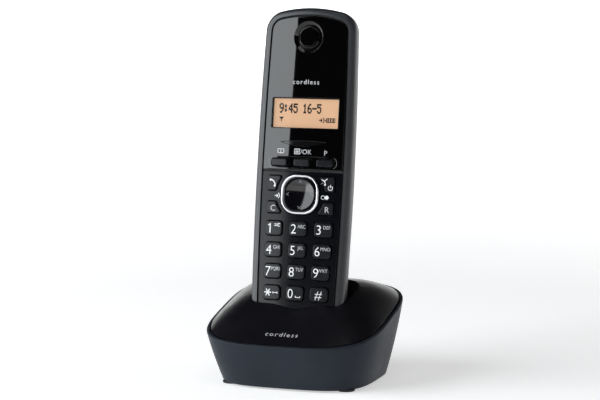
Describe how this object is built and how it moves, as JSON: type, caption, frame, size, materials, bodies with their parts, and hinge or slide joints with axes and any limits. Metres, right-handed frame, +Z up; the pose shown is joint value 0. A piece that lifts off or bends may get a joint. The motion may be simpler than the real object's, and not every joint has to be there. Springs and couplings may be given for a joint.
{
  "type": "cordless phone with charging base",
  "caption": "Cordless telephone handset standing in a low oval charging base, with a keypad, rocking navigation key and amber display.",
  "frame": {"origin": "centre of the bounding box at the soles of the base's rubber feet", "axes": "+X to the right of someone facing the keypad, +Y to the back of the base, +Z up; the handset leans back 9 degrees from +Z"},
  "size_m": [0.0902, 0.0859, 0.1835],
  "materials": {
    "base_shell": "satin",
    "cover_shell": "satin",
    "case_plastic": "satin",
    "rim_plastic": "fine grained, silvery",
    "fascia_gloss": "high gloss",
    "bezel_satin": "satin",
    "key_plastic": "satin",
    "button_plastic": "satin",
    "nav_gloss": "gloss",
    "ring_chrome": "bright",
    "lens_gloss": "gloss",
    "window_clear": "clear",
    "lcd_amber": "backlit, amber",
    "diffuser_white": "matte",
    "membrane_rubber": "matte",
    "foot_rubber": "matte",
    "circuit_board": "solder mask",
    "tinned_steel": "bright",
    "spring_steel": "bright",
    "zinc_steel": "zinc plated",
    "gold_contact": "gold plated",
    "jack_plastic": "matte",
    "speaker_metal": "satin",
    "cell_wrap": "printed wrap"
  },
  "bodies": {
    "base": {"base_case": "base_shell", "base_cover": "cover_shell", "bottom_plate": "base_shell", "base_feet": "foot_rubber", "base_screws": "zinc_steel", "base_board": "circuit_board", "base_shield": "tinned_steel", "base_antennas": "tinned_steel", "line_jack": "jack_plastic", "dc_jack": "jack_plastic", "charge_block": "jack_plastic", "charge_spring_left": "spring_steel", "charge_spring_right": "spring_steel"},
    "handset": {"front_case": "rim_plastic", "rear_case": "case_plastic", "front_fascia": "fascia_gloss", "keypad_bezel": "bezel_satin", "signal_lens": "lens_gloss", "lcd_window": "window_clear", "lcd_panel": "lcd_amber", "backlight": "diffuser_white", "keypad_membrane": "membrane_rubber", "handset_board": "circuit_board", "radio_shield": "tinned_steel", "receiver_speaker": "speaker_metal", "receiver_gasket": "membrane_rubber", "microphone": "speaker_metal", "ringer_speaker": "speaker_metal", "battery_cells": "cell_wrap", "battery_contacts": "spring_steel", "charge_contacts": "gold_contact", "handset_screws": "zinc_steel"},
    "battery_cover": {"battery_cover": "case_plastic"},
    "nav_carrier": {"nav_carrier": "case_plastic"},
    "nav": {"nav_key": "nav_gloss", "nav_ring": "ring_chrome"},
    "charge_pin_left": {"charge_pin_left": "gold_contact"},
    "charge_pin_right": {"charge_pin_right": "gold_contact"},
    "locator_button": {"locator_button": "button_plastic"},
    "key_1": {"key_1": "key_plastic"},
    "key_2": {"key_2": "key_plastic"},
    "key_3": {"key_3": "key_plastic"},
    "key_4": {"key_4": "key_plastic"},
    "key_5": {"key_5": "key_plastic"},
    "key_6": {"key_6": "key_plastic"},
    "key_7": {"key_7": "key_plastic"},
    "key_8": {"key_8": "key_plastic"},
    "key_9": {"key_9": "key_plastic"},
    "key_star": {"key_star": "key_plastic"},
    "key_0": {"key_0": "key_plastic"},
    "key_hash": {"key_hash": "key_plastic"},
    "talk_key": {"talk_key": "key_plastic"},
    "off_key": {"off_key": "key_plastic"},
    "clear_key": {"clear_key": "key_plastic"},
    "recall_key": {"recall_key": "key_plastic"},
    "phonebook_key": {"phonebook_key": "key_plastic"},
    "menu_key": {"menu_key": "key_plastic"},
    "pause_key": {"pause_key": "key_plastic"}
  },
  "joints": [
    {"name": "handset_lift", "type": "slide", "parent": "base", "child": "handset", "axis": [0, 0.157, 0.9876], "range_m": [0, 0.08]},
    {"name": "battery_cover_off", "type": "slide", "parent": "handset", "child": "battery_cover", "axis": [0, 0.9876, -0.157], "range_m": [0, 0.015]},
    {"name": "key_1_press", "type": "slide", "parent": "handset", "child": "key_1", "axis": [0, 0.9876, -0.157], "range_m": [0, 0.0007], "stiffness_N_per_m": 1000, "springref_m": -0.0003},
    {"name": "key_2_press", "type": "slide", "parent": "handset", "child": "key_2", "axis": [0, 0.9876, -0.157], "range_m": [0, 0.0007], "stiffness_N_per_m": 1000, "springref_m": -0.0003},
    {"name": "key_3_press", "type": "slide", "parent": "handset", "child": "key_3", "axis": [0, 0.9876, -0.157], "range_m": [0, 0.0007], "stiffness_N_per_m": 1000, "springref_m": -0.0003},
    {"name": "key_4_press", "type": "slide", "parent": "handset", "child": "key_4", "axis": [0, 0.9876, -0.157], "range_m": [0, 0.0007], "stiffness_N_per_m": 1000, "springref_m": -0.0003},
    {"name": "key_5_press", "type": "slide", "parent": "handset", "child": "key_5", "axis": [0, 0.9876, -0.157], "range_m": [0, 0.0007], "stiffness_N_per_m": 1000, "springref_m": -0.0003},
    {"name": "key_6_press", "type": "slide", "parent": "handset", "child": "key_6", "axis": [0, 0.9876, -0.157], "range_m": [0, 0.0007], "stiffness_N_per_m": 1000, "springref_m": -0.0003},
    {"name": "key_7_press", "type": "slide", "parent": "handset", "child": "key_7", "axis": [0, 0.9876, -0.157], "range_m": [0, 0.0007], "stiffness_N_per_m": 1000, "springref_m": -0.0003},
    {"name": "key_8_press", "type": "slide", "parent": "handset", "child": "key_8", "axis": [0, 0.9876, -0.157], "range_m": [0, 0.0007], "stiffness_N_per_m": 1000, "springref_m": -0.0003},
    {"name": "key_9_press", "type": "slide", "parent": "handset", "child": "key_9", "axis": [0, 0.9876, -0.157], "range_m": [0, 0.0007], "stiffness_N_per_m": 1000, "springref_m": -0.0003},
    {"name": "key_star_press", "type": "slide", "parent": "handset", "child": "key_star", "axis": [0, 0.9876, -0.157], "range_m": [0, 0.0007], "stiffness_N_per_m": 1000, "springref_m": -0.0003},
    {"name": "key_0_press", "type": "slide", "parent": "handset", "child": "key_0", "axis": [0, 0.9876, -0.157], "range_m": [0, 0.0007], "stiffness_N_per_m": 1000, "springref_m": -0.0003},
    {"name": "key_hash_press", "type": "slide", "parent": "handset", "child": "key_hash", "axis": [0, 0.9876, -0.157], "range_m": [0, 0.0007], "stiffness_N_per_m": 1000, "springref_m": -0.0003},
    {"name": "talk_key_press", "type": "slide", "parent": "handset", "child": "talk_key", "axis": [0, 0.9876, -0.157], "range_m": [0, 0.0007], "stiffness_N_per_m": 1000, "springref_m": -0.0003},
    {"name": "off_key_press", "type": "slide", "parent": "handset", "child": "off_key", "axis": [0, 0.9876, -0.157], "range_m": [0, 0.0007], "stiffness_N_per_m": 1000, "springref_m": -0.0003},
    {"name": "clear_key_press", "type": "slide", "parent": "handset", "child": "clear_key", "axis": [0, 0.9876, -0.157], "range_m": [0, 0.0007], "stiffness_N_per_m": 1000, "springref_m": -0.0003},
    {"name": "recall_key_press", "type": "slide", "parent": "handset", "child": "recall_key", "axis": [0, 0.9876, -0.157], "range_m": [0, 0.0007], "stiffness_N_per_m": 1000, "springref_m": -0.0003},
    {"name": "phonebook_key_press", "type": "slide", "parent": "handset", "child": "phonebook_key", "axis": [0, 0.9876, -0.157], "range_m": [0, 0.0007], "stiffness_N_per_m": 1000, "springref_m": -0.0003},
    {"name": "menu_key_press", "type": "slide", "parent": "handset", "child": "menu_key", "axis": [0, 0.9876, -0.157], "range_m": [0, 0.0007], "stiffness_N_per_m": 1000, "springref_m": -0.0003},
    {"name": "pause_key_press", "type": "slide", "parent": "handset", "child": "pause_key", "axis": [0, 0.9876, -0.157], "range_m": [0, 0.0007], "stiffness_N_per_m": 1000, "springref_m": -0.0003},
    {"name": "nav_rock_up_down", "type": "hinge", "parent": "handset", "child": "nav_carrier", "pos_m": [0, -0.0044, 0.09193], "axis": [1, 0, 0], "range_deg": [-3, 3], "stiffness_Nm_per_rad": 0.2},
    {"name": "nav_rock_left_right", "type": "hinge", "parent": "nav_carrier", "child": "nav", "pos_m": [0, -0.0044, 0.09193], "axis": [0, 0.157, 0.9876], "range_deg": [-3, 3], "stiffness_Nm_per_rad": 0.2},
    {"name": "charge_pin_left_dip", "type": "slide", "parent": "base", "child": "charge_pin_left", "axis": [0, 0.157, 0.9876], "range_m": [-0.0008, 0], "stiffness_N_per_m": 400, "springref_m": 0.0006, "deforming": ["charge_spring_left"]},
    {"name": "charge_pin_right_dip", "type": "slide", "parent": "base", "child": "charge_pin_right", "axis": [0, 0.157, 0.9876], "range_m": [-0.0008, 0], "stiffness_N_per_m": 400, "springref_m": 0.0006, "deforming": ["charge_spring_right"]},
    {"name": "locator_button_press", "type": "slide", "parent": "base", "child": "locator_button", "axis": [0, -1, 0], "range_m": [0, 0.0008], "stiffness_N_per_m": 1000, "springref_m": -0.0003}
  ]
}
